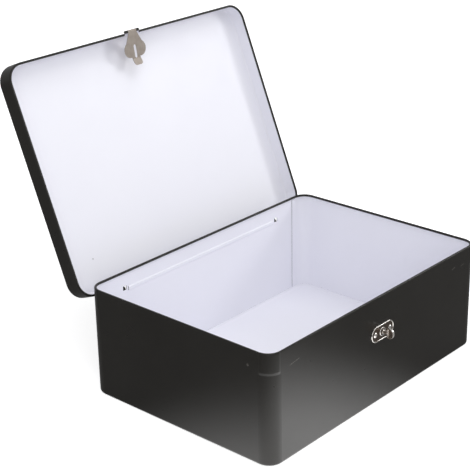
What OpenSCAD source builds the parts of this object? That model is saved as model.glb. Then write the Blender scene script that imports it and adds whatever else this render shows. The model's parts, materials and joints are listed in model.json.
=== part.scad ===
// Small tin trunk: a folded sheet box with a hinged lid, a hasp and a turn button.
// Millimetres. +X runs right along the front, +Y to the back, +Z up.
// The origin is the centre of the box's underside, and the lid is drawn open.

/* [Box] */
// Outside width of the box, left to right
body_w = 330; // [240:1:420]
// Outside depth of the box, front to back
body_d = 231; // [180:1:320]
// Height of the box from its underside to the top of the rim
body_h = 114; // [90:1:180]
// Outside radius of the four upright corners
corner_r = 15; // [10:0.5:25]
// Thickness of the lacquered sheet
sheet = 0.6; // [0.5:0.05:0.7]
// Radius of the roll along the top rim
rim_r = 1.3; // [1.2:0.05:1.5]
// Outside radius of the bend between wall and underside
foot_r = 3; // [2:0.1:4]
// Width of the flange that carries the bottom panel
flange_w = 10; // [6:0.5:16]

/* [Lid] */
// Depth of the lid's skirt
skirt_h = 19; // [18.5:0.25:20]
// Outside radius of the bend between lid panel and skirt
lid_bend_r = 3; // [2:0.1:4]
// Radius of the hem rolled along the skirt's free edge
hem_r = 1.2; // [1:0.05:1.3]
// Air between the skirt's hem and the box
lid_gap = 1; // [0.6:0.1:1.2]
// Air between the rim and the closed lid's panel
lid_rise = 0.3; // [0.2:0.05:0.5]
// How far the lid stands open, from shut
open_angle = 112; // [100:1:114]

/* [Hinge] */
// Radius of the hinge wire and of the hasp's pin
wire_r = 0.8; // [0.7:0.05:0.85]
// Height of the hinge wire and of the hasp's pin below the rim
roll_drop = 17.5; // [17.5:0.1:18]
// Length of the lid's roll along the wire
hinge_len = 228; // [120:1:230]
// Width of the box's knuckle at each end of the wire
knuckle_w = 4.3; // [3:0.1:6]
// How far the bead in the back wall is pressed in
bead_in = 0.8; // [0.4:0.1:1.2]

/* [Hasp and turn button] */
// Length of the hasp's flat plate, from its pin
hasp_len = 28.5; // [27:0.5:29]
// Width of the hasp across its two lobes
hasp_w = 30; // [26:0.5:32]
// Distance from the hasp's pin to the middle of its slot
slot_drop = 21; // [20:0.5:21.5]
// Length of the hasp's slot
slot_l = 14; // [13:0.5:15]
// Width of the hasp's slot
slot_w = 3.6; // [3.5:0.1:4]
// How far the open lid's hasp hangs out from plumb
hasp_tilt = 10; // [6:1:12]
// Width of the turn button's base plate
clasp_w = 35.5; // [32:0.5:38]
// Height of the turn button's base plate
clasp_h = 16.5; // [14:0.5:18]
// Distance between the two rivets
rivet_pitch = 23; // [20:0.5:25]
// Radius of the turn button's round thumb piece
thumb_r = 5.5; // [5:0.1:5.7]
// Thickness of the thumb piece
thumb_t = 2.4; // [2:0.1:2.6]

/* [Hidden] */
$fn = 64;
black = [0.11, 0.105, 0.095];
white = [0.92, 0.92, 0.95];
nickel = [0.72, 0.68, 0.63];
steel = [0.6, 0.6, 0.6];

// Slip that keeps a cut clear of the face it starts on
slip = 1;
// Gap left where a rolled edge comes back to its own sheet
roll_gap = 0.35;
seam_w = 5;
seam_t = 0.4;
// How far the folded seam stops below the rim
seam_drop = 4;

lid_w = body_w + 2 * (2 * hem_r + lid_gap);
lid_d = body_d + 2 * (2 * hem_r + lid_gap);
lid_r = corner_r + 2 * hem_r + lid_gap;
lid_top = body_h + lid_rise + sheet;
hem_z = lid_top - skirt_h + hem_r;
// Width of the flat margin shared by the lid's swept edge and its panel
lid_margin = 4;

// Outer and inner radii of a roll round a wire
roll_r = 1.5;
lid_bore_r = wire_r + 0.08;
hasp_bore_r = wire_r + 0.06;
knuckle_bore_r = wire_r + 0.02;
roll_z = body_h - roll_drop;
roll_y = lid_d / 2 - sheet + roll_r;
// Free width beside a knuckle
knuckle_gap = 0.6;
knuckle_x = hinge_len / 2 + knuckle_gap;
knuckle_clear_r = 3.3;
knuckle_slot_h = 4.5;
wire_len = 2 * (knuckle_x + knuckle_w) + 1;

bead_len = hinge_len - 4;
bead_h = 5;
bead_slope = 1;
bead_z = roll_z - 5.5;

// The hasp: half widths along its pin, from the middle outwards
barrel_half = 5.8;
ear_in = 6.2;
ear_out = 9.8;
hasp_notch = 11;
notch_up = 1.8;
pin_half = 10.2;
hasp_t = 0.7;
lobe_r = 8;
lobe_drop = 19;
// The round swell between the lobes: how far it goes past their middles, and up from them
swell_more = 3.5;
swell_up = 1;
// The shoulders: where they start below the pin, and how high they meet the lobes
shoulder_drop = 2;
shoulder_up = 6.8;
hasp_neck_w = 11.5;
tab_w = 11;
tab_len = 7.5;
tab_flare = 25;

clasp_z = roll_z - slot_drop;
clasp_t = 0.8;
clasp_bead = 0.45;
clasp_bead_w = 1.1;
boss_r = 4.6;
rivet_r = 1.45;
rivet_head_r = 2.6;
rivet_head_h = 1.2;
rivet_tail_r = 2.3;
rivet_tail_h = 0.5;
hole_slack = 0.08;
neck_r = 1.6;
collar_r = 2.8;
collar_h = 0.8;
air = 0.05;
// How far the thumb piece's middle and its flat end stand off the wall
thumb_off = 8.3;
thumb_base = 6.1;
thumb_dish = 0.8;
thumb_rim = 1.2;
washer_t = 0.5;
washer_r = 4;
peen_r = 2.5;
peen_h = 0.6;

// Where a point of the shut lid comes to when the lid is open
function open_y(y, z) = roll_y + (y - roll_y) * cos(open_angle) + (z - roll_z) * sin(open_angle);
function open_z(y, z) = roll_z - (y - roll_y) * sin(open_angle) + (z - roll_z) * cos(open_angle);

// Carries a profile round a rounded rectangle. The profile's x = 0 runs on the outline.
module sweep_ring(w, d, r) {
    for (k = [0:3]) {
        a = (k % 2 == 0) ? w / 2 : d / 2;
        b = (k % 2 == 0) ? d / 2 : w / 2;
        rotate([0, 0, 90 * k]) {
            translate([a, 0, 0])
                rotate([90, 0, 0])
                    linear_extrude(height = 2 * (b - r), center = true) children();
            translate([a - r, b - r, 0])
                rotate_extrude(angle = 90)
                    translate([r, 0]) children();
        }
    }
}

// A flat plate with rounded corners, its underside at z
module rounded_plate(w, d, r, z, t) {
    translate([0, 0, z]) {
        translate([-w / 2, -d / 2 + r, 0]) cube([w, d - 2 * r, t]);
        translate([-w / 2 + r, -d / 2, 0]) cube([w - 2 * r, d, t]);
        for (sx = [-1, 1])
            for (sy = [-1, 1])
                translate([sx * (w / 2 - r), sy * (d / 2 - r), 0]) cylinder(r = r, h = t);
    }
}

// A quarter of a bent sheet. turn = 0 is the quarter to the right and up.
module sheet_bend(r, turn) {
    rotate(turn)
        intersection() {
            difference() {
                circle(r = r);
                circle(r = r - sheet);
            }
            square(r + slip);
        }
}

// An edge rolled into a tube of one turn, left open beside its own sheet.
// The sheet comes down on the right of the tube and the tube opens below its middle.
module rolled_edge(r) {
    difference() {
        circle(r = r);
        circle(r = r - sheet);
        translate([r - sheet - roll_gap, -r - slip]) square([roll_gap, r + slip]);
    }
}

// A profile in the Y-Z plane, drawn out along X from x0 to x1
module along_x(x0, x1) {
    translate([x0, 0, 0]) rotate([90, 0, 90]) linear_extrude(height = x1 - x0) children();
}

// A length of round wire or pin along X
module wire_x(half, y, z, r) {
    translate([-half, y, z]) rotate([0, 90, 0]) cylinder(r = r, h = 2 * half);
}

// The lid's parts are drawn shut, then swung open about the hinge wire
module opened() {
    translate([0, roll_y, roll_z])
        rotate([-open_angle, 0, 0])
            translate([0, -roll_y, -roll_z]) children();
}

// Things fixed to the front wall are drawn on a plane that faces the viewer.
// Its z is the distance out from the wall.
module on_front() {
    translate([0, -body_d / 2, clasp_z]) rotate([90, 0, 0]) children();
}

module wall_profile() {
    translate([-sheet, foot_r]) square([sheet, body_h - rim_r - foot_r]);
    translate([-rim_r, body_h - rim_r]) rolled_edge(rim_r);
    translate([-foot_r, foot_r]) sheet_bend(foot_r, -90);
    translate([-foot_r - flange_w, 0]) square([flange_w, sheet]);
}

// Pressed bead in the back wall, from outside to inside and back
module bead_profile() {
    out_y = body_d / 2;
    deep_y = out_y - bead_in;
    polygon([[out_y, bead_z], [deep_y, bead_z + bead_slope],
             [deep_y, bead_z + bead_h - bead_slope], [out_y, bead_z + bead_h],
             [out_y - sheet, bead_z + bead_h], [deep_y - sheet, bead_z + bead_h - bead_slope],
             [deep_y - sheet, bead_z + bead_slope], [out_y - sheet, bead_z]]);
}

// One knuckle of the box: a tongue out of the wall, curled over the wire
module knuckle(x) {
    wall_y = body_d / 2 - sheet;
    along_x(x, x + knuckle_w) {
        translate([wall_y, roll_z + roll_r - sheet]) square([roll_y - wall_y, sheet]);
        translate([roll_y, roll_z])
            difference() {
                circle(r = roll_r);
                circle(r = knuckle_bore_r);
            }
    }
}

module body_wall() color(black) {
    difference() {
        sweep_ring(body_w, body_d, corner_r) wall_profile();
        translate([-bead_len / 2, body_d / 2 - slip - sheet, bead_z])
            cube([bead_len, 2 * slip + sheet, bead_h]);
        for (x = [-knuckle_x - knuckle_w, knuckle_x])
            translate([x - knuckle_gap / 2, body_d / 2 - slip - sheet, roll_z + roll_r - sheet - knuckle_slot_h])
                cube([knuckle_w + knuckle_gap, 2 * slip + sheet, knuckle_slot_h]);
        on_front() translate([0, 0, -sheet - slip]) {
            cylinder(r = neck_r + hole_slack, h = sheet + 2 * slip);
            for (s = [-1, 1])
                translate([s * rivet_pitch / 2, 0, 0]) cylinder(r = rivet_r + air, h = sheet + 2 * slip);
        }
    }
    along_x(-bead_len / 2, bead_len / 2) bead_profile();
    knuckle(-knuckle_x - knuckle_w);
    knuckle(knuckle_x);
    // Folded side seam, inside the back wall beside the right corner
    translate([body_w / 2 - corner_r - seam_w, body_d / 2 - sheet - seam_t, foot_r + sheet])
        cube([seam_w, seam_t + sheet / 2, body_h - seam_drop - foot_r - sheet]);
}

module bottom_panel() color(white) {
    lip_r = foot_r - sheet - air;
    floor_z = sheet + air;
    sweep_ring(body_w, body_d, corner_r) {
        translate([-foot_r, foot_r])
            rotate(-90)
                intersection() {
                    difference() {
                        circle(r = lip_r);
                        circle(r = lip_r - sheet);
                    }
                    square(foot_r);
                }
        translate([-foot_r - lid_margin, floor_z]) square([lid_margin, sheet]);
    }
    rounded_plate(body_w - 2 * (foot_r + lid_margin / 2), body_d - 2 * (foot_r + lid_margin / 2),
                  corner_r - foot_r - lid_margin / 2, floor_z, sheet);
}

module lid_profile() {
    translate([-sheet, hem_z]) square([sheet, lid_top - lid_bend_r - hem_z]);
    translate([-hem_r, hem_z]) mirror([0, 1]) rolled_edge(hem_r);
    translate([-lid_bend_r, lid_top - lid_bend_r]) sheet_bend(lid_bend_r, 0);
    translate([-lid_bend_r - lid_margin, lid_top - sheet]) square([lid_margin, sheet]);
}

// Cuts the hem and the skirt's foot away over a width, to make room for a roll
module hem_cut(half) {
    translate([-half, lid_d / 2 - 2 * hem_r - slip, hem_z - hem_r - slip])
        cube([2 * half, 2 * hem_r + slip - sheet, 2 * hem_r + 2 * slip]);
    translate([-half, lid_d / 2 - sheet - slip, hem_z - hem_r - slip])
        cube([2 * half, sheet + 2 * slip, roll_z - hem_z + hem_r + slip]);
}

// A length of the skirt's edge rolled outwards round a wire
module lid_roll(x0, x1) {
    along_x(x0, x1)
        translate([roll_y, roll_z])
            difference() {
                circle(r = roll_r);
                circle(r = lid_bore_r);
                translate([-lid_bore_r, 0]) square([roll_gap, roll_r + slip]);
            }
}

module lid_shut() {
    hinge_half = knuckle_x + knuckle_w + knuckle_gap;
    difference() {
        union() {
            sweep_ring(lid_w, lid_d, lid_r) lid_profile();
            rounded_plate(lid_w - 2 * (lid_bend_r + lid_margin / 2), lid_d - 2 * (lid_bend_r + lid_margin / 2),
                          lid_r - lid_bend_r - lid_margin / 2, lid_top - sheet, sheet);
        }
        hem_cut(hinge_half);
        for (s = [-1, 1])
            translate([s * (hinge_len / 2 + hinge_half) / 2, roll_y, roll_z])
                rotate([0, 90, 0])
                    cylinder(r = knuckle_clear_r, h = hinge_half - hinge_len / 2, center = true);
        mirror([0, 1, 0]) {
            hem_cut(hasp_notch);
            translate([-ear_in, lid_d / 2 - sheet - slip, roll_z - slip])
                cube([2 * ear_in, sheet + 2 * slip, notch_up + slip]);
            for (s = [-1, 1])
                translate([s * (ear_out + hasp_notch) / 2, lid_d / 2 - sheet / 2, roll_z])
                    cube([hasp_notch - ear_out, sheet + 2 * slip, 2 * notch_up], center = true);
        }
    }
    lid_roll(-hinge_len / 2, hinge_len / 2);
    mirror([0, 1, 0]) {
        lid_roll(-ear_out, -ear_in);
        lid_roll(ear_in, ear_out);
    }
}

module lid_shell() color(black) {
    opened() lid_shut();
}

module hinge_wire() color(steel) {
    wire_x(wire_len / 2, roll_y, roll_z, wire_r);
}

module hasp_pin() color(nickel) {
    opened() wire_x(pin_half, -roll_y, roll_z, wire_r);
}

// The hasp seen from the front, its pin along the x axis and its slot below
module hasp_outline() {
    difference() {
        union() {
            translate([-hasp_neck_w / 2, -slot_drop]) square([hasp_neck_w, slot_drop]);
            for (s = [-1, 1])
                translate([s * (hasp_w / 2 - lobe_r), -lobe_drop]) circle(r = lobe_r);
            translate([0, swell_up - lobe_drop]) circle(r = hasp_w / 2 - lobe_r + swell_more);
            polygon([[-barrel_half, -shoulder_drop], [barrel_half, -shoulder_drop],
                     [hasp_w / 2 - lobe_r / 2, shoulder_up - lobe_drop],
                     [lobe_r / 2 - hasp_w / 2, shoulder_up - lobe_drop]]);
            translate([-tab_w / 2, -hasp_len]) square([tab_w, hasp_len - slot_drop]);
        }
        translate([-slot_w / 2, -slot_drop - slot_l / 2 + slot_w / 2]) square([slot_w, slot_l - slot_w]);
        for (s = [-1, 1])
            translate([0, -slot_drop + s * (slot_l - slot_w) / 2]) circle(r = slot_w / 2);
    }
}

// The finger tab below the slot, bent out from the wall
module hasp_tab() {
    translate([0, -roll_r + hasp_t, -hasp_len])
        rotate([-tab_flare, 0, 0])
            rotate([90, 0, 0])
                linear_extrude(height = hasp_t) {
                    translate([-tab_w / 2, -tab_len + tab_w / 4]) square([tab_w, tab_len - tab_w / 4]);
                    translate([-tab_w / 4, -tab_len]) square([tab_w / 2, tab_w / 4]);
                    for (s = [-1, 1])
                        translate([s * tab_w / 4, -tab_len + tab_w / 4]) circle(r = tab_w / 4);
                }
}

// The hasp hanging plumb from its pin at the origin, its face to the front
module hasp_plumb() {
    difference() {
        union() {
            translate([0, -roll_r + hasp_t, 0])
                rotate([90, 0, 0]) linear_extrude(height = hasp_t) hasp_outline();
            wire_x(barrel_half, 0, 0, roll_r);
            hasp_tab();
        }
        wire_x(barrel_half + slip, 0, 0, hasp_bore_r);
    }
}

module hasp_plate() color(nickel) {
    translate([0, open_y(-roll_y, roll_z), open_z(-roll_y, roll_z)])
        rotate([-hasp_tilt, 0, 0]) hasp_plumb();
}

// A plate outline with round ends
module stadium(w, h) {
    square([w - h, h], center = true);
    for (s = [-1, 1])
        translate([s * (w - h) / 2, 0]) circle(r = h / 2);
}

module clasp_plate() color(nickel) {
    on_front() difference() {
        union() {
            linear_extrude(height = clasp_t) stadium(clasp_w, clasp_h);
            linear_extrude(height = clasp_t + clasp_bead)
                difference() {
                    stadium(clasp_w, clasp_h);
                    stadium(clasp_w - 2 * clasp_bead_w, clasp_h - 2 * clasp_bead_w);
                }
            cylinder(r = boss_r, h = clasp_t + clasp_bead);
        }
        translate([0, 0, -slip]) {
            cylinder(r = neck_r + hole_slack, h = clasp_t + 2 * slip);
            for (s = [-1, 1])
                translate([s * rivet_pitch / 2, 0, 0]) cylinder(r = rivet_r + air, h = clasp_t + 2 * slip);
        }
    }
}

// A rivet with a domed head outside and a flattened tail inside the box
module clasp_rivet(side) {
    dome_r = (rivet_head_r * rivet_head_r + rivet_head_h * rivet_head_h) / (2 * rivet_head_h);
    tail_z = -sheet - air - rivet_tail_h;
    on_front() translate([side * rivet_pitch / 2, 0, 0]) {
        translate([0, 0, tail_z]) cylinder(r = rivet_tail_r, h = rivet_tail_h);
        translate([0, 0, tail_z]) cylinder(r = rivet_r, h = clasp_t + rivet_head_h / 2 - tail_z);
        intersection() {
            translate([0, 0, clasp_t + air + rivet_head_h - dome_r]) sphere(r = dome_r);
            translate([0, 0, clasp_t + air]) cylinder(r = rivet_head_r + slip, h = rivet_head_h + slip);
        }
    }
}

module clasp_rivet_left() color(nickel) {
    clasp_rivet(-1);
}

module clasp_rivet_right() color(nickel) {
    clasp_rivet(1);
}

// Round thumb piece on edge, dished on both sides, on a spindle peened inside the box
module thumb_turn() color(nickel) {
    collar_z = clasp_t + clasp_bead + air;
    peen_z = -sheet - 2 * washer_t - 3 * air - peen_h;
    dish_r = thumb_r - thumb_rim;
    on_front() {
        difference() {
            translate([-thumb_t / 2, 0, thumb_off]) rotate([0, 90, 0]) cylinder(r = thumb_r, h = thumb_t);
            translate([-thumb_r, -thumb_r - slip, 0]) cube([2 * thumb_r, 2 * (thumb_r + slip), thumb_base]);
            for (s = [-1, 1])
                intersection() {
                    translate([s * thumb_t / 2, 0, thumb_off])
                        rotate([0, 90, 0]) cylinder(r = dish_r, h = 2 * thumb_dish, center = true);
                    translate([-thumb_r, -thumb_r, thumb_base + thumb_rim]) cube(2 * thumb_r);
                }
        }
        translate([0, 0, peen_z]) cylinder(r = neck_r, h = thumb_base + slip / 2 - peen_z);
        translate([0, 0, peen_z]) cylinder(r = peen_r, h = peen_h);
        translate([0, 0, collar_z]) cylinder(r = collar_r, h = collar_h);
    }
}

// A washer round the spindle, its outer face this far inside the wall's outside
module spindle_washer(depth) {
    on_front() translate([0, 0, -depth - washer_t])
        difference() {
            cylinder(r = washer_r, h = washer_t);
            translate([0, 0, -slip]) cylinder(r = neck_r + hole_slack, h = washer_t + 2 * slip);
        }
}

module wave_washer() color(steel) {
    spindle_washer(sheet + air);
}

module retaining_washer() color(nickel) {
    spindle_washer(sheet + washer_t + 2 * air);
}

body_wall();
bottom_panel();
lid_shell();
hinge_wire();
hasp_pin();
hasp_plate();
clasp_plate();
clasp_rivet_left();
clasp_rivet_right();
thumb_turn();
wave_washer();
retaining_washer();
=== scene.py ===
# %% [markdown]
# A small tin trunk, dressed for a studio picture
#
# The trunk is folded from thin lacquered sheet: black and satin outside, white inside, with
# nickel-plated fittings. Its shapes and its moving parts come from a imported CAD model, which loads
# here as a fixed frame. This script gives every surface its finish, rounds and dresses the small
# fittings, and sets the floor, the light and the camera.

# %% Load the frame
import json
import math
from math import radians

import bmesh
import bpy
from mathutils import Matrix, Vector


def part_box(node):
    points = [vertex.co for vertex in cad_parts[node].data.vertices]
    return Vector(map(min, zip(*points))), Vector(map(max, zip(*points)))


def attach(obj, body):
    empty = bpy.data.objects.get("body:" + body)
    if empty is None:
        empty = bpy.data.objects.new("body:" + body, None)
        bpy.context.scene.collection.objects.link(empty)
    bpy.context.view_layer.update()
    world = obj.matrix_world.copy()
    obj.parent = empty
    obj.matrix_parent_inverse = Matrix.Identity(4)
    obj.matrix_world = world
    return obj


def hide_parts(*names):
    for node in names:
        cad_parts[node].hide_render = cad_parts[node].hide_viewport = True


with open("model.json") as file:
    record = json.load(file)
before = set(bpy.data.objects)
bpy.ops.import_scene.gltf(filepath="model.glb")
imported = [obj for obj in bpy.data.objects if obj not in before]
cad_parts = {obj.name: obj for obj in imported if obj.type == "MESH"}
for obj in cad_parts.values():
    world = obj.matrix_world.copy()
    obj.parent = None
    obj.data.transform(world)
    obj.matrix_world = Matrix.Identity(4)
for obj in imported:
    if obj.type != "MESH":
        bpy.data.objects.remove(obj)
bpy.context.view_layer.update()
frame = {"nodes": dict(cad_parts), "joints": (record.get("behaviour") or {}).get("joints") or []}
nodes = frame["nodes"]
joints = {joint["name"]: joint for joint in frame["joints"]}
print("pieces from the frame:", ", ".join(sorted(nodes)))

# %% [markdown]
# The sizes that everything else hangs on
#
# The frame gives the places of the pieces, so nothing here is measured twice. The box's width,
# depth and height come from the bounds of its wall. The lid stands open, so its panel leans back,
# and everything on it is easier to place in the lid's own, shut position. The frame says where the
# hinge wire is and how far the lid can close, and that is the angle it stands open by.

# %% Where the walls are and where the lid turns
MM = 0.001
SHEET = 0.6 * MM
CORNER_R = 15 * MM

hinge = joints["lid_hinge"]
hinge_point = Vector(hinge["pos_m"])
open_angle = radians(hinge["range_deg"][1])
to_hinge = Matrix.Translation(hinge_point)
swing_open = to_hinge @ Matrix.Rotation(-open_angle, 4, "X") @ to_hinge.inverted()
swing_shut = swing_open.inverted()

wall_low, wall_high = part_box("body_wall")
half_w = wall_high.x
half_d = -wall_low.y
rim_z = wall_high.z
lid_half_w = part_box("lid_shell")[1].x
lid_overlap = lid_half_w - half_w
lid_half_d = half_d + lid_overlap
lid_r = CORNER_R + lid_overlap
print("box", round(2 * half_w / MM), "by", round(2 * half_d / MM), "by", round(rim_z / MM), "mm")
print("lid stands open by", round(math.degrees(open_angle), 1), "degrees")

# %% [markdown]
# A short way to build node trees
#
# A finish is a tree of shader nodes, and a shape that follows a rule can be a tree of geometry nodes.
# Made by hand, both are a lot of clicking; made in code, they can be a lot of repeated lines. This
# small class keeps the code short: it adds a node and sets its options and sockets in one call, and
# a socket takes either a plain value or another node's output.


# %% Building a node tree
class TreeBuilder:
    """Adds nodes to a tree and feeds their sockets."""

    def __init__(self, tree):
        self.tree = tree

    def add(self, kind, settings=None, **sockets):
        node = self.tree.nodes.new(kind)
        for key, value in (settings or {}).items():
            setattr(node, key, value)
        for key, value in sockets.items():
            self.feed(node.inputs[key.replace("_", " ")], value)
        return node

    def feed(self, socket, value):
        if isinstance(value, bpy.types.NodeSocket):
            self.tree.links.new(value, socket)
        else:
            socket.default_value = value

    def calc(self, operation, first, second=0.0):
        node = self.add("ShaderNodeMath", {"operation": operation})
        self.feed(node.inputs[0], first)
        self.feed(node.inputs[1], second)
        return node.outputs[0]


# %% [markdown]
# What every finish starts from
#
# All finishes are patterns on the piece's own coordinates, in metres from the frame's origin. The
# pieces are never moved, so a mark stays where it is placed, and neighbouring pieces can share one
# pattern without a seam. No picture files are needed, and the pattern is sharp at any distance.

# %% A finish and its shader
class Finish(TreeBuilder):
    """A material under construction, with the place on the piece at hand as x, y and z."""

    def __init__(self, name):
        self.material = bpy.data.materials.new(name)
        self.material.use_nodes = True
        super().__init__(self.material.node_tree)
        self.shader = self.tree.nodes["Principled BSDF"]
        self.place = self.add("ShaderNodeTexCoord").outputs["Object"]
        self.x, self.y, self.z = self.add("ShaderNodeSeparateXYZ", Vector=self.place).outputs

    def shade(self, **sockets):
        for key, value in sockets.items():
            self.feed(self.shader.inputs[key.replace("_", " ")], value)
        return self.material


# %% [markdown]
# From noise to paint
#
# Real paint and metal vary slowly over a hand's width and finely over less than a millimetre. Both
# are noise, at two scales. Noise mostly lies between 0.3 and 0.7, so it is spread out before it
# drives a colour or a roughness. Used as a height, it makes a relief that is too shallow to be worth
# modelling, but that breaks up the gloss the way rolled paint does.

# %% Noise, colour and relief
COLOUR_A, COLOUR_B, COLOUR_OUT = 6, 7, 2


def noise(finish, scale, detail=3.0, fineness=0.5, place=None):
    node = finish.add("ShaderNodeTexNoise", Vector=place or finish.place, Scale=scale, Detail=detail,
                      Roughness=fineness)
    return node.outputs["Fac"]


def remap(finish, value, low, high, to_low, to_high, smooth=False):
    """Spreads the values from low to high over another range, and holds what lies outside."""
    kind = "SMOOTHSTEP" if smooth else "LINEAR"
    node = finish.add("ShaderNodeMapRange", {"clamp": True, "interpolation_type": kind}, Value=value,
                      From_Min=low, From_Max=high, To_Min=to_low, To_Max=to_high)
    return node.outputs["Result"]


def blend(finish, amount, first, second):
    node = finish.add("ShaderNodeMix", {"data_type": "RGBA"}, Factor=amount)
    finish.feed(node.inputs[COLOUR_A], first)
    finish.feed(node.inputs[COLOUR_B], second)
    return node.outputs[COLOUR_OUT]


def bump(finish, height, depth, strength, under=None):
    node = finish.add("ShaderNodeBump", Strength=strength, Distance=depth, Height=height)
    if under is not None:
        finish.feed(node.inputs["Normal"], under)
    return node.outputs["Normal"]


def patches(finish, scale, band, levels, detail=3.0, fineness=0.5):
    """Soft patches: the noise inside the band is spread over the levels."""
    return remap(finish, noise(finish, scale, detail, fineness), *band, *levels)


def relief(finish, scale, detail, depth, strength, under=None):
    return bump(finish, noise(finish, scale, detail), depth, strength, under)


# %% [markdown]
# Marks in one place
#
# A dent is a spot: what counts is the distance from its middle. A scratch or a rub is a stroke: what
# counts is the distance from the line between its two ends. The vector nodes below drop each point
# onto that line, stop at the ends, and measure what is left.

# %% Spots and strokes
def distance_to(finish, spot):
    node = finish.add("ShaderNodeVectorMath", {"operation": "DISTANCE"})
    finish.feed(node.inputs[0], finish.place)
    finish.feed(node.inputs[1], spot)
    return node.outputs["Value"]


def stroke(finish, start, end, width):
    """One on the line from start to end, fading to nothing at this distance from it."""
    along = end - start
    from_start = finish.add("ShaderNodeVectorMath", {"operation": "SUBTRACT"})
    finish.feed(from_start.inputs[0], finish.place)
    finish.feed(from_start.inputs[1], start)
    share = finish.add("ShaderNodeVectorMath", {"operation": "DOT_PRODUCT"})
    finish.feed(share.inputs[0], from_start.outputs[0])
    finish.feed(share.inputs[1], along / along.length_squared)
    nearest = finish.add("ShaderNodeVectorMath", {"operation": "SCALE"})
    finish.feed(nearest.inputs[0], along)
    finish.feed(nearest.inputs["Scale"], remap(finish, share.outputs["Value"], 0.0, 1.0, 0.0, 1.0))
    gap = finish.add("ShaderNodeVectorMath", {"operation": "DISTANCE"})
    finish.feed(gap.inputs[0], from_start.outputs[0])
    finish.feed(gap.inputs[1], nearest.outputs[0])
    return remap(finish, gap.outputs["Value"], 0.0, width, 1.0, 0.0, smooth=True)


# %% [markdown]
# The crease at the wall's corners
#
# Where the wall goes round a corner, the tool that rolled the rim has left a shallow crease about
# 20 mm below it. It could be cut into the mesh, but it is only half a millimetre deep and fades out
# where the wall becomes flat. So it is a step in height, switched on where both x and y have passed
# the start of the bend.

# %% Corner crease
CREASE_DROP = 20.5 * MM
CREASE_SOFT = 1.6 * MM
CREASE_DEPTH = 0.5 * MM
CREASE_STRENGTH = 0.8
CORNER_FADE = 3 * MM


def round_the_corner(finish, coordinate, half):
    """One where the wall has begun to bend, counted along this coordinate."""
    bend = half - CORNER_R
    size = finish.calc("ABSOLUTE", coordinate)
    return remap(finish, size, bend, bend + CORNER_FADE, 0.0, 1.0, smooth=True)


def corner_crease(finish):
    """A step in the wall, only where it is bent round a corner."""
    across = round_the_corner(finish, finish.x, half_w)
    along = round_the_corner(finish, finish.y, half_d)
    crease_z = rim_z - CREASE_DROP
    step = remap(finish, finish.z, crease_z - CREASE_SOFT, crease_z + CREASE_SOFT, 0.0, 1.0, smooth=True)
    return finish.calc("MULTIPLY", finish.calc("MULTIPLY", across, along), step)


print("crease", round((rim_z - CREASE_DROP) / MM, 1), "mm above the floor")

# %% [markdown]
# Marks from handling
#
# A box that has been handled has a few small marks, and they tell how it was used: a hair scratch
# beside the near corner, a dent in the side, and two short rubs by the far end of the rim. They sit
# at given places on the wall. Noise breaks each one up, because a real scratch is never even.

# %% Scratch, rubs and dent
MARK_COLOUR = (0.110, 0.104, 0.094, 1)
MARK_DEPTH = 0.08 * MM
MARK_STRENGTH = 0.6
FRONT_STROKES = {
    "hair scratch": ((-138.2, 95.8), (-125.7, 97.6), 0.9),
    "first rub": ((118.7, 98.3), (123.7, 99.2), 0.8),
    "second rub": ((134.8, 97.0), (140.4, 97.8), 0.7),
}
DENT_AT = Vector((-half_w, -89.4 * MM, 98.2 * MM))
DENT_R = 2.0 * MM
DENT_FLAT_R = 0.8 * MM
DENT_LEVEL = 0.8
BROKEN = {"scale": 900.0, "band": (0.40, 0.60), "levels": (0.25, 1.0), "detail": 2.0}


def on_front(x, z):
    """A place on the front wall, from millimetres."""
    return Vector((x * MM, -half_d, z * MM))


def handling_marks(finish):
    marks = remap(finish, distance_to(finish, DENT_AT), DENT_FLAT_R, DENT_R, DENT_LEVEL, 0.0, smooth=True)
    for start, end, width in FRONT_STROKES.values():
        line = stroke(finish, on_front(*start), on_front(*end), width * MM)
        marks = finish.calc("MAXIMUM", marks, line)
    return finish.calc("MULTIPLY", marks, patches(finish, **BROKEN))


print("marks:", ", ".join(FRONT_STROKES), "and a dent")

# %% [markdown]
# Black satin lacquer
#
# The outside is roller-coated black lacquer. It isn't mirror black: it has a soft sheen, a very fine
# pebble from the roller, and a slight waviness where the thin sheet isn't quite flat. The colour is a
# warm near-black, a touch greyer where hands have rubbed it. The box's wall has the crease and the
# marks, and the lid's sheet has neither, so there are two materials from one recipe.

# %% Black lacquer
BLACK_DEEP = (0.0140, 0.0125, 0.0105, 1)
BLACK_RUBBED = (0.0180, 0.0165, 0.0140, 1)
BLACK_SHEEN = 0.32
RUBBING = {"scale": 9.0, "band": (0.35, 0.75), "levels": (0.0, 1.0), "detail": 4.0, "fineness": 0.6}
BLACK_GLOSS = {"scale": 60.0, "band": (0.3, 0.7), "levels": (0.27, 0.34), "detail": 5.0, "fineness": 0.65}
BLACK_WAVES = {"scale": 7.0, "detail": 1.5, "depth": 1.0 * MM, "strength": 0.25}
BLACK_PEBBLE = {"scale": 1500.0, "detail": 2.0, "depth": 0.02 * MM, "strength": 0.35}


def black_lacquer(name, of_the_box):
    finish = Finish(name)
    colour = blend(finish, patches(finish, **RUBBING), BLACK_DEEP, BLACK_RUBBED)
    normal = relief(finish, **BLACK_WAVES)
    if of_the_box:
        normal = bump(finish, corner_crease(finish), CREASE_DEPTH, CREASE_STRENGTH, under=normal)
        marks = handling_marks(finish)
        colour = blend(finish, marks, colour, MARK_COLOUR)
        normal = bump(finish, marks, MARK_DEPTH, MARK_STRENGTH, under=normal)
    normal = relief(finish, **BLACK_PEBBLE, under=normal)
    return finish.shade(Base_Color=colour, Roughness=patches(finish, **BLACK_GLOSS), Normal=normal,
                        Specular_IOR_Level=BLACK_SHEEN)


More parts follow.
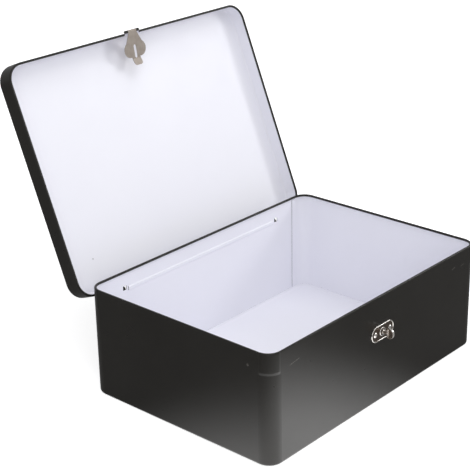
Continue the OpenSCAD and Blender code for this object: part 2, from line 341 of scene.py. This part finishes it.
black_wall = black_lacquer("black_lacquer_wall", True)
black_lid = black_lacquer("black_lacquer_lid", False)
print("black wall has", len(black_wall.node_tree.nodes), "nodes, black lid", len(black_lid.node_tree.nodes))

# %% [markdown]
# White lacquer inside
#
# The inside is the same sheet with a smooth white lacquer. White paint picks up its surroundings, so
# most of what shows is soft shading; the paint only needs a faint cool tint, slight unevenness, and
# a low, broad gloss. One grey speck sits low on the lid's panel. It is placed with the lid shut, and
# then swung to where the open lid holds it.

# %% White lacquer
WHITE_CLEAN = (0.900, 0.900, 0.965, 1)
WHITE_DULL = (0.885, 0.885, 0.955, 1)
WHITE_CLOUD = {"scale": 6.0, "band": (0.35, 0.7), "levels": (0.0, 1.0), "detail": 4.0, "fineness": 0.6}
WHITE_GLOSS = {"scale": 45.0, "band": (0.3, 0.7), "levels": (0.40, 0.50), "detail": 4.0}
WHITE_WAVES = {"scale": 8.0, "detail": 1.5, "depth": 1.0 * MM, "strength": 0.2}
WHITE_PEBBLE = {"scale": 1400.0, "detail": 2.0, "depth": 0.02 * MM, "strength": 0.3}
SPECK_COLOUR = (0.35, 0.34, 0.35, 1)
SPECK_AT = Vector((-126.3, 86.5, 114.3)) * MM
SPECK_R = 0.9 * MM


def white_lacquer(name):
    finish = Finish(name)
    colour = blend(finish, patches(finish, **WHITE_CLOUD), WHITE_CLEAN, WHITE_DULL)
    speck = remap(finish, distance_to(finish, swing_open @ SPECK_AT), SPECK_R / 2, SPECK_R, 1.0, 0.0)
    colour = blend(finish, speck, colour, SPECK_COLOUR)
    waves = relief(finish, **WHITE_WAVES)
    pebble = relief(finish, **WHITE_PEBBLE, under=waves)
    return finish.shade(Base_Color=colour, Roughness=patches(finish, **WHITE_GLOSS), Normal=pebble)


white = white_lacquer("white_lacquer")
print("speck on the open lid at", [round(value / MM) for value in swing_open @ SPECK_AT], "mm")

# %% [markdown]
# Nickel plate
#
# The hasp and the turn button are pressed steel with nickel plate. It is made in three states: bright
# on the rounded edges, the beads and the small fittings, partly polish and partly a painted highlight;
# satin and taupe on the hasp's open flats, where the die has left fine drawing lines; and dark brown
# on the turn button's faces and its base plate, which is painted shade, the dark that they reflect.
# The same recipe makes all three, with other colours and roughness. The lines are noise that is
# squeezed much more in two directions than in the third.

# %% Nickel in three states
METAL_BAND = (0.3, 0.7)
DRAWN_LINES = (1500.0, 900.0, 90.0)
LINE_DETAIL = {"detail": 4.0, "fineness": 0.6}
METAL_CLOUD = {"scale": 180.0, "band": METAL_BAND, "levels": (0.0, 1.0)}
LINE_DEPTH = 0.03 * MM
LINE_STRENGTH = 0.4
NICKEL_STATES = {
    # bright nickel: polish, and a painted highlight on the edges and beads that get it
    "nickel_bright": {
        "dark": (0.76, 0.73, 0.69, 1),
        "light": (0.86, 0.83, 0.80, 1),
        "roughness": (0.18, 0.28),
    },
    "nickel_satin": {
        "dark": (0.44, 0.385, 0.340, 1),
        "light": (0.51, 0.455, 0.405, 1),
        "roughness": (0.52, 0.62),
    },
    # dark nickel: painted shade, the dark reflection on the turn button's faces and base plate
    "nickel_dull": {
        "dark": (0.150, 0.120, 0.098, 1),
        "light": (0.215, 0.178, 0.150, 1),
        "roughness": (0.30, 0.42),
    },
}


def lines_along(finish, squeeze, detail, fineness):
    """Noise drawn out into lines, by how much it is squeezed along x, y and z."""
    squeezed = finish.add("ShaderNodeMapping", Vector=finish.place, Scale=squeeze)
    return noise(finish, 1.0, detail, fineness, squeezed.outputs["Vector"])


def nickel_plate(name, dark, light, roughness):
    finish = Finish(name)
    lines = lines_along(finish, DRAWN_LINES, **LINE_DETAIL)
    return finish.shade(Base_Color=blend(finish, patches(finish, **METAL_CLOUD), dark, light), Metallic=1.0,
                        Roughness=remap(finish, lines, *METAL_BAND, *roughness),
                        Normal=bump(finish, lines, LINE_DEPTH, LINE_STRENGTH))


nickel = {name: nickel_plate(name, **state) for name, state in NICKEL_STATES.items()}
print("nickel:", ", ".join(nickel))

# %% [markdown]
# Steel wire
#
# The hinge wire and the spring washer are plain steel. Wire is pulled through a die, so its lines run
# along it: here the noise is squeezed along x, the wire's own direction, much less than across it.

# %% Drawn steel
STEEL_DARK = (0.40, 0.39, 0.38, 1)
STEEL_LIGHT = (0.56, 0.55, 0.53, 1)
WIRE_LINES = (60.0, 2500.0, 2500.0)
WIRE_DETAIL = {"detail": 3.0, "fineness": 0.5}
STEEL_ROUGH = (0.28, 0.42)


def steel_wire(name):
    finish = Finish(name)
    drawn = lines_along(finish, WIRE_LINES, **WIRE_DETAIL)
    return finish.shade(Base_Color=blend(finish, drawn, STEEL_DARK, STEEL_LIGHT), Metallic=1.0,
                        Roughness=remap(finish, drawn, *METAL_BAND, *STEEL_ROUGH),
                        Normal=bump(finish, drawn, LINE_DEPTH, LINE_STRENGTH))


steel = steel_wire("steel_wire")
print("finishes so far:", len(bpy.data.materials))

# %% [markdown]
# Two colours on one sheet
#
# Wall and lid are each one sheet, black on one face and white on the other, and the change of
# colour follows the metal round every bend: the rim and the hem are rolled inwards, so their black
# side shows. A material can't know which face it is on, but the shape does. Each face gets one of
# two material slots by where it is and which way it looks: the inner face of the sheet is the one
# that looks towards the middle of the box.

# %% Which faces are inside
ROLL = 2.7 * MM
FOOT_R = 3 * MM
HEM_TOP = 16.2 * MM
LID_RISE = 0.9 * MM
FACING_IN = 0.3
FACING_UP = 0.2
FACING_DOWN = 0.5


def looks_in(spot, facing, half_x, half_y, radius):
    """True on the inner face of a sheet that is bent to a rounded rectangle."""
    across = max(abs(spot.x) - (half_x - radius), 0.0)
    along = max(abs(spot.y) - (half_y - radius), 0.0)
    outward = Vector((math.copysign(across, spot.x), math.copysign(along, spot.y), 0))
    deep_enough = radius - outward.length > SHEET / 2
    return deep_enough and facing.dot(outward) < -FACING_IN * outward.length


def inside_wall(centre, normal):
    """True on the sheet's inner face, below the rolled rim."""
    if centre.z > rim_z - ROLL:
        return False
    if centre.z < FOOT_R:
        return centre.z > SHEET / 2 and normal.z > FACING_UP
    return looks_in(centre, normal, half_w, half_d, CORNER_R)


def inside_lid(centre, normal):
    """True on the lid's inner face, short of the rolled hem. Worked out with the lid shut."""
    spot = swing_shut @ centre
    facing = swing_shut.to_3x3() @ normal
    if spot.z < rim_z + LID_RISE - HEM_TOP:
        return False
    return facing.z < -FACING_DOWN or looks_in(spot, facing, lid_half_w, lid_half_d, lid_r)


print("the wall is white inside up to", round((rim_z - ROLL) / MM, 1), "mm")

# %% [markdown]
# Painting what keeps its CAD shape
#
# Wall and lid get their two slots. The other pieces that keep their CAD shape get one finish each:
# white on the floor panel, steel on the wire and the spring washer, and bright nickel on the hasp's
# pin, the rivets and the washer that holds the turn button.

# %% Wall, lid and the single-finish pieces
BLACK, WHITE = 0, 1


def paint(name, *finishes):
    mesh = nodes[name].data
    mesh.materials.clear()
    for finish in finishes:
        mesh.materials.append(finish)
    return mesh


def paint_two_sides(name, outside, is_inside):
    """Gives a CAD node a black and a white slot, and each face the one that its place calls for."""
    mesh = paint(name, outside, white)
    picks = [WHITE if is_inside(face.center, face.normal) else BLACK for face in mesh.polygons]
    mesh.polygons.foreach_set("material_index", picks)
    print(name, "faces:", len(picks), "of them white:", sum(picks))


paint_two_sides("body_wall", black_wall, inside_wall)
paint_two_sides("lid_shell", black_lid, inside_lid)
paint("bottom_panel", white)
for steel_piece in ("hinge_wire", "wave_washer"):
    paint(steel_piece, steel)
for bright_piece in ("hasp_pin", "clasp_rivet_left", "clasp_rivet_right", "retaining_washer"):
    paint(bright_piece, nickel["nickel_bright"])

# %% [markdown]
# Rounded edges for hasp and thumb piece
#
# Pressed metal has no knife edges. The press leaves one side rounded, and tumbling in the plating
# barrel rounds the rest, so each fitting is outlined by a thin bright line where its edge catches
# the light. The CAD shapes are exact but sharp, so each of these two gets a rounded copy, which
# stands in its place: the loose triangles are joined, flat parts are merged, and the sharp edges
# are bevelled. The big flats stay flat-shaded, because smooth shading would bend their reflections
# towards the rounded edges.

# %% A rounded copy of a fitting
WELD = 0.001 * MM
FLAT_ANGLE = radians(1)
SHARP_ANGLE = radians(35)
FLAT_AREA = 6 * MM * MM
FLATS, EDGES = 0, 1


def new_piece(name, mesh):
    piece = bpy.data.objects.new(name, mesh)
    bpy.context.scene.collection.objects.link(piece)
    return piece


def rounded_shape(node, radius, steps, is_bright):
    """A CAD node's shape with its sharp edges rounded, and its edges in the second material slot."""
    shape = bmesh.new()
    shape.from_mesh(nodes[node].data)
    bmesh.ops.remove_doubles(shape, verts=shape.verts, dist=WELD)
    bmesh.ops.dissolve_limit(shape, angle_limit=FLAT_ANGLE, verts=shape.verts, edges=shape.edges)
    sharp = [edge for edge in shape.edges if edge.is_manifold and edge.calc_face_angle() > SHARP_ANGLE]
    edges = bmesh.ops.bevel(shape, geom=sharp, offset=radius, segments=steps, profile=0.5,
                            affect="EDGES", clamp_overlap=True)
    bmesh.ops.recalc_face_normals(shape, faces=shape.faces)
    # the bright nickel on edge faces is partly polish and partly a painted highlight
    for face in shape.faces:
        face.material_index = EDGES if is_bright(face) else FLATS
    for face in edges["faces"]:
        face.material_index = EDGES
    print(node, "edges rounded:", len(sharp))
    return shape


def rounded_copy(node, name, flats, **rounding):
    """A rounded piece in the CAD node's place, with bright edges and flats of this finish."""
    shape = rounded_shape(node, **rounding)
    mesh = bpy.data.meshes.new(name)
    shape.to_mesh(mesh)
    shape.free()
    mesh.set_sharp_from_angle(angle=SHARP_ANGLE)
    for face in mesh.polygons:
        face.use_smooth = face.area < FLAT_AREA
    mesh.materials.append(flats)
    # second slot: bright nickel, partly polish and partly a painted highlight
    mesh.materials.append(nickel["nickel_bright"])
    piece = new_piece(name, mesh)
    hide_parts(node)
    return piece


# %% [markdown]
# Hasp and thumb piece
#
# The hasp is thin, so its edges are only lightly rounded, and all its flats are satin. The thumb
# piece is thicker and rounder. Its rim gets bright nickel, partly polish from fingers and partly a
# painted highlight, and its two dished faces get dark nickel as painted shade: the rim's faces are
# those that don't look along x, the direction across the thumb piece.

# %% Hasp and thumb piece
HASP_EDGE = {"radius": 0.16 * MM, "steps": 2}
THUMB_EDGE = {"radius": 0.25 * MM, "steps": 3}
RIM_FACING = 0.5


def on_no_edge(face):
    return False


def on_thumb_rim(face):
    return abs(face.normal.x) < RIM_FACING


hasp = rounded_copy("hasp_plate", "hasp_rounded", nickel["nickel_satin"], is_bright=on_no_edge, **HASP_EDGE)
# thumb: dark nickel on the dished faces is painted shade, bright nickel on the rim partly a painted
# highlight
thumb = rounded_copy("thumb_turn", "thumb_rounded", nickel["nickel_dull"], is_bright=on_thumb_rim,
                     **THUMB_EDGE)
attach(hasp, "hasp")
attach(thumb, "thumb")
print("faces: hasp", len(hasp.data.polygons), "thumb piece", len(thumb.data.polygons))

# %% [markdown]
# The loose ends of the knuckles
#
# Each knuckle is a tongue cut from the back wall. It runs out over the hinge wire, curls round it and
# comes back under it, where its loose end rests near the wall. Seen from inside the box, that black
# end fills the small slot that the tongue was cut from, and it is also a dark sheet put there as
# painted shade, for the shade that shows through each slot. It is a bent strip: a short path in the
# plane across the wire, thickened to both sides and made as wide as the slot.

# %% Curled loose ends behind the slots, also painted shade in them
CURL_W = 4.6 * MM
CURL_X = 116.75 * MM
CURL_T = 0.3 * MM
CURL_PATH = ((0.1, -1.45), (-1.3, -1.5), (-2.5, -2.0), (-3.3, -2.9), (-3.75, -4.0), (-3.85, -4.9))


def curl_rings(shape, middle):
    """The strip's cross-sections along its path, four corners each, round this middle along x."""
    path = [Vector((middle, hinge_point.y + y * MM, hinge_point.z + z * MM)) for y, z in CURL_PATH]
    aside = Vector((CURL_W / 2, 0, 0))
    rings = []
    for index, point in enumerate(path):
        run = path[min(index + 1, len(path) - 1)] - path[max(index - 1, 0)]
        out = Vector((0, -run.z, run.y)).normalized() * CURL_T / 2
        corners = (point - aside + out, point + aside + out, point + aside - out, point - aside - out)
        rings.append([shape.verts.new(corner) for corner in corners])
    return rings


def curl_mesh(name):
    shape = bmesh.new()
    for side in (-1, 1):
        rings = curl_rings(shape, side * CURL_X)
        for low, high in zip(rings, rings[1:]):
            for turn in range(len(low)):
                shape.faces.new((low[turn - 1], low[turn], high[turn], high[turn - 1]))
        shape.faces.new(rings[0])
        shape.faces.new(rings[-1])
    bmesh.ops.recalc_face_normals(shape, faces=shape.faces)
    mesh = bpy.data.meshes.new(name)
    shape.to_mesh(mesh)
    shape.free()
    return mesh


# the black loose ends stand in for the shade seen through the slots: painted shade
knuckle_ends_and_slot_shade = new_piece("knuckle_ends_and_slot_shade", curl_mesh("knuckle_ends_and_slot_shade"))
knuckle_ends_and_slot_shade.data.materials.append(black_lid)
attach(knuckle_ends_and_slot_shade, "box")
print("knuckle ends:", len(knuckle_ends_and_slot_shade.data.polygons), "faces")

# %% [markdown]
# The turn button's base plate
#
# The base plate is stamped with a round raised border that stiffens it. A border like this is a
# bead that follows the plate's outline, so Geometry Nodes make it: an outline with round ends, a
# round profile swept along it, and a flat plate that fills it. Changing one input changes the whole
# border. Behind the thumb piece sits a low round boss, made as another filled and swept ring.

# %% A Geometry Nodes tree with named sizes
class Sweep(TreeBuilder):
    """A Geometry Nodes tree under construction. Its sizes are inputs with names."""

    def __init__(self, name):
        super().__init__(bpy.data.node_groups.new(name, "GeometryNodeTree"))
        self.tree.interface.new_socket("Geometry", in_out="OUTPUT", socket_type="NodeSocketGeometry")
        self.inputs = self.tree.nodes.new("NodeGroupInput")
        self.values = {}

    def size(self, name, value):
        socket = self.tree.interface.new_socket(name, in_out="INPUT", socket_type="NodeSocketFloat")
        socket.default_value = value
        self.values[socket.identifier] = value
        return self.inputs.outputs[name]

    def join(self, *parts):
        node = self.add("GeometryNodeJoinGeometry")
        for part in parts:
            self.feed(node.inputs[0], part)
        return node.outputs[0]


# %% [markdown]
# Discs and beads
#
# Two kinds of part make the whole plate. A disc is a filled outline with a thickness, closed at the
# back. A bead is a round wire along the same outline, lifted so that it just clears the wall. Beads
# get bright nickel, partly rubbed polish and partly a painted highlight, so each one is marked for it
# while it is still a part of its own.

# %% Parts of the base plate
LIFT = 1.05
POLISH_AND_HIGHLIGHT = "polish_and_highlight"


def disc(sweep, outline, tall):
    face = sweep.add("GeometryNodeFillCurve", Curve=outline)
    body = sweep.add("GeometryNodeExtrudeMesh", Mesh=face.outputs[0], Offset_Scale=tall, Individual=False)
    back = sweep.add("GeometryNodeFlipFaces", Mesh=face.outputs[0])
    return sweep.join(body.outputs["Mesh"], back.outputs[0])


def bead(sweep, outline, profile, radius):
    """A round bead along an outline, lifted off the wall and marked for bright nickel, polish and painted
    highlight.
    """
    wire = sweep.add("GeometryNodeCurveToMesh", Curve=outline, Profile_Curve=profile)
    lift = sweep.add("ShaderNodeCombineXYZ", Z=sweep.calc("MULTIPLY", radius, LIFT))
    raised = sweep.add("GeometryNodeTransform", Geometry=wire.outputs[0], Translation=lift.outputs[0])
    marked = sweep.add("GeometryNodeStoreNamedAttribute", {"data_type": "BOOLEAN", "domain": "FACE"},
                       Geometry=raised.outputs[0], Name=POLISH_AND_HIGHLIGHT, Value=True)
    return marked.outputs[0]


print("beads clear the wall by", round((LIFT - 1) * 100), "percent of their radius")

# %% [markdown]
# The whole plate
#
# The outline is a rectangle whose corners are rounded until its ends are half circles. The parts are
# joined and welded, and the tree ends by making everything real and giving it its finishes: dark
# nickel all over, which is painted shade, and then bright nickel, partly polish and partly a painted
# highlight, on the bead faces that are marked for it.

# %% The base plate's tree
BEAD_R = 0.62 * MM
PLATE_T = 0.8 * MM
BOSS_R = 4.6 * MM
BOSS_LIFT = 1.95
HALF_ROUND = 0.4999
END_POINTS = 24
BEAD_POINTS = 16


def clasp_tree(width, height):
    sweep = Sweep("bordered_plate")
    wide = sweep.size("Width", width)
    high = sweep.size("Height", height)
    radius = sweep.size("Bead radius", BEAD_R)
    thick = sweep.size("Plate thickness", PLATE_T)
    boss = sweep.size("Boss radius", BOSS_R)
    both_beads = sweep.calc("MULTIPLY", radius, 2.0)
    inner_high = sweep.calc("SUBTRACT", high, both_beads)
    outline = sweep.add("GeometryNodeCurvePrimitiveQuadrilateral",
                        Width=sweep.calc("SUBTRACT", wide, both_beads), Height=inner_high)
    round_ends = sweep.add("GeometryNodeFilletCurve", {"mode": "POLY"}, Curve=outline.outputs[0],
                           Radius=sweep.calc("MULTIPLY", inner_high, HALF_ROUND), Count=END_POINTS)
    ring = sweep.add("GeometryNodeCurvePrimitiveCircle", Resolution=2 * END_POINTS,
                     Radius=sweep.calc("SUBTRACT", boss, radius))
    profile = sweep.add("GeometryNodeCurvePrimitiveCircle", Resolution=BEAD_POINTS, Radius=radius)
    whole = sweep.join(bead(sweep, ring.outputs[0], profile.outputs[0], radius),
                       disc(sweep, ring.outputs[0], sweep.calc("MULTIPLY", radius, BOSS_LIFT)),
                       disc(sweep, round_ends.outputs[0], thick),
                       bead(sweep, round_ends.outputs[0], profile.outputs[0], radius))
    weld = sweep.add("GeometryNodeMergeByDistance", Geometry=whole, Distance=WELD)
    real = sweep.add("GeometryNodeRealizeInstances", Geometry=weld.outputs[0])
    # dark nickel over the whole plate is painted shade; bright nickel on the beads is partly polish, partly
    # a painted highlight
    painted_shade = sweep.add("GeometryNodeSetMaterial", Geometry=real.outputs[0], Material=nickel["nickel_dull"])
    polish_and_highlight = sweep.add("GeometryNodeInputNamedAttribute", {"data_type": "BOOLEAN"}, Name=POLISH_AND_HIGHLIGHT)
    bright = sweep.add("GeometryNodeSetMaterial", Geometry=painted_shade.outputs[0],
                       Selection=polish_and_highlight.outputs["Attribute"], Material=nickel["nickel_bright"])
    out = sweep.tree.nodes.new("NodeGroupOutput")
    sweep.feed(out.inputs[0], bright.outputs[0])
    return sweep


print("border bead", round(2 * BEAD_R / MM, 2), "mm thick, boss", round(2 * BOSS_R / MM, 1), "mm across")

# %% [markdown]
# From tree to piece
#
# A tree shows its result through a modifier, and the modifier finds its inputs by their identifiers,
# not by their names. A bare carrier object holds the modifier just long enough to evaluate it. What
# comes out is a plain mesh, which is turned to lie against the front wall.

# %% The base plate
def grown_mesh(name, sweep):
    """The plain mesh that a Geometry Nodes tree makes, free of its modifier."""
    carrier = new_piece(name + "_carrier", bpy.data.meshes.new(name))
    modifier = carrier.modifiers.new("grow", "NODES")
    modifier.node_group = sweep.tree
    for identifier, value in sweep.values.items():
        modifier[identifier] = value
    graph = bpy.context.evaluated_depsgraph_get()
    mesh = bpy.data.meshes.new_from_object(carrier.evaluated_get(graph))
    bpy.data.objects.remove(carrier)
    mesh.attributes.remove(mesh.attributes[POLISH_AND_HIGHLIGHT])
    mesh.name = name
    return mesh


clasp_low, clasp_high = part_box("clasp_plate")
clasp_mesh = grown_mesh("clasp_dressed", clasp_tree(clasp_high.x - clasp_low.x, clasp_high.z - clasp_low.z))
clasp_middle = Vector((0, -half_d, (clasp_low.z + clasp_high.z) / 2))
clasp_mesh.transform(Matrix.Translation(clasp_middle) @ Matrix.Rotation(radians(90), 4, "X"))
for clasp_face in clasp_mesh.polygons:
    clasp_face.use_smooth = True
clasp_mesh.set_sharp_from_angle(angle=SHARP_ANGLE)
clasp = new_piece("clasp_dressed", clasp_mesh)
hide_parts("clasp_plate")
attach(clasp, "box")
print("base plate:", len(clasp_mesh.polygons), "faces")

# %% [markdown]
# The floor
#
# The picture was taken in a white studio. The floor here is one plane that looks white to the camera
# but keeps the box's soft shadow. In the lacquer's sheen, the floor shows a painted reflection: it
# glows, though it is no lamp, bright in front of the near corner and darker away from it, as a lit
# table would in a dim room, and that glow is why the walls are lightest near their foot there. The
# kind of ray decides which of these the floor shows.

# %% Floor
FLOOR_HALF = 6.0
FLOOR_Z = -0.2 * MM
FLOOR_COLOUR = (0.86, 0.86, 0.87, 1)
FLOOR_GLOW = 0.62
SHEEN_NEAR = 3.0
SHEEN_FAR = 0.24
LIT_SPOT = Vector((-0.13, -0.15, 0))
LIT_FROM = 0.02
LIT_TO = 0.23
LIGHT_COLOUR = (1, 1, 1, 1)


def combine(finish, kind, *parts):
    """Feeds the sockets of a mix or an add shader in their order."""
    node = finish.add(kind)
    for socket, part in zip(node.inputs, parts):
        finish.feed(socket, part)
    return node.outputs[0]


def studio_floor():
    finish = Finish("studio_floor")
    rays = finish.add("ShaderNodeLightPath").outputs
    away = distance_to(finish, LIT_SPOT)
    # the glow that only glossy rays see is a painted reflection, brightest near LIT_SPOT
    level = remap(finish, away, LIT_FROM, LIT_TO, SHEEN_NEAR, SHEEN_FAR, smooth=True)
    matt = finish.add("ShaderNodeBsdfDiffuse", Color=FLOOR_COLOUR, Roughness=1.0).outputs[0]
    glow = finish.add("ShaderNodeEmission", Color=LIGHT_COLOUR, Strength=FLOOR_GLOW).outputs[0]
    sheen = finish.add("ShaderNodeEmission", Color=LIGHT_COLOUR, Strength=level).outputs[0]
    lit = combine(finish, "ShaderNodeAddShader", matt, glow)
    to_camera = combine(finish, "ShaderNodeMixShader", rays["Is Camera Ray"], matt, lit)
    in_sheen = combine(finish, "ShaderNodeMixShader", rays["Is Glossy Ray"], to_camera, sheen)
    finish.feed(finish.tree.nodes["Material Output"].inputs["Surface"], in_sheen)
    return finish.material


floor_mesh = bpy.data.meshes.new("floor")
floor_corners = [(x * FLOOR_HALF, y * FLOOR_HALF, FLOOR_Z) for x, y in ((-1, -1), (1, -1), (1, 1), (-1, 1))]
floor_mesh.from_pydata(floor_corners, [], [(0, 1, 2, 3)])
floor_mesh.materials.append(studio_floor())
floor = new_piece("floor", floor_mesh)
print("floor:", 2 * FLOOR_HALF, "m square")

# %% [markdown]
# The room
#
# The room is an even white light. To the camera it is plain white, and in the lacquer's sheen it is
# dimmer than it lights, so that the black stays black.

# %% World
WORLD_LIGHT = 0.59
WORLD_IN_SHEEN = 0.42
WORLD_TO_CAMERA = 1.0

world = bpy.data.worlds.new("studio")
bpy.context.scene.world = world
world.use_nodes = True
room = TreeBuilder(world.node_tree)
room_rays = room.add("ShaderNodeLightPath").outputs
room_sheen = room.add("ShaderNodeMapRange", Value=room_rays["Is Glossy Ray"], To_Min=WORLD_LIGHT,
                      To_Max=WORLD_IN_SHEEN)
seen = room.calc("MAXIMUM", room_rays["Is Camera Ray"], room_rays["Is Transmission Ray"])
room_level = room.add("ShaderNodeMapRange", Value=seen, To_Min=room_sheen.outputs[0],
                      To_Max=WORLD_TO_CAMERA)
background = world.node_tree.nodes["Background"]
background.inputs["Color"].default_value = LIGHT_COLOUR
room.feed(background.inputs["Strength"], room_level.outputs[0])
print("room light", WORLD_LIGHT, "and in the sheen", WORLD_IN_SHEEN)

# %% [markdown]
# The lamps
#
# Three soft lamps shape the box. A large one overhead and one from the left fill it in. A smaller
# one to the front right is the key: it makes the hasp's soft shadow on the lid.

# %% Lamps
LAMPS = {
    "overhead_lamp": {"size": (1.6, 1.2), "power": 9.0, "place": (0.1, -0.4, 1.7)},
    "left_lamp": {"size": (0.9, 0.9), "power": 5.0, "place": (-1.3, -1.1, 0.8)},
    "key_lamp": {"size": (0.42, 0.42), "power": 4.6, "place": (1.20, -0.85, 0.80)},
}
LAMP_TARGET = Vector((0, 0.05, 0.15))


def soft_lamp(name, size, power, place):
    data = bpy.data.lights.new(name, "AREA")
    data.shape = "RECTANGLE"
    data.size, data.size_y = size
    data.energy = power
    lamp = bpy.data.objects.new(name, data)
    lamp.location = place
    lamp.rotation_euler = (LAMP_TARGET - Vector(place)).to_track_quat("-Z", "Y").to_euler()
    bpy.context.scene.collection.objects.link(lamp)


for lamp_name, lamp_settings in LAMPS.items():
    soft_lamp(lamp_name, **lamp_settings)
bpy.context.scene.view_settings.view_transform = "Standard"
print("lamps:", ", ".join(LAMPS))

# %% [markdown]
# The camera
#
# The viewpoint was worked out from the straight edges in the photograph: the rim, the base and the
# upright corners of the box fix where the camera stood and how long its lens was. The camera stands
# to the front left, above the box, and tips down by about 23 degrees. It leans about one degree.

# %% Camera
PHOTO_SIZE = 470
FOCAL_PX = 1354.7
CAMERA_TURN = -47.97
CAMERA_DIP = 22.56
CAMERA_ROLL = 1.18
TARGET = Vector((48.45, 114.7, 99.0)) * MM
DISTANCE = 1460.5 * MM
SENSOR = 36.0


def photo_camera():
    data = bpy.data.cameras.new("camera")
    data.sensor_width = SENSOR
    data.lens = FOCAL_PX * SENSOR / PHOTO_SIZE
    camera = bpy.data.objects.new("camera", data)
    turn, dip = radians(CAMERA_TURN), radians(CAMERA_DIP)
    back = Vector((math.sin(turn) * math.cos(dip), -math.cos(turn) * math.cos(dip), math.sin(dip)))
    facing = (-back).to_track_quat("-Z", "Y").to_matrix().to_4x4()
    lean = Matrix.Rotation(radians(-CAMERA_ROLL), 4, "Z")
    camera.matrix_world = Matrix.Translation(TARGET + back * DISTANCE) @ facing @ lean
    bpy.context.scene.collection.objects.link(camera)
    bpy.context.scene.camera = camera
    return camera


camera = photo_camera()
print("lens", round(camera.data.lens, 1), "mm, camera at", [round(value, 3) for value in camera.location])
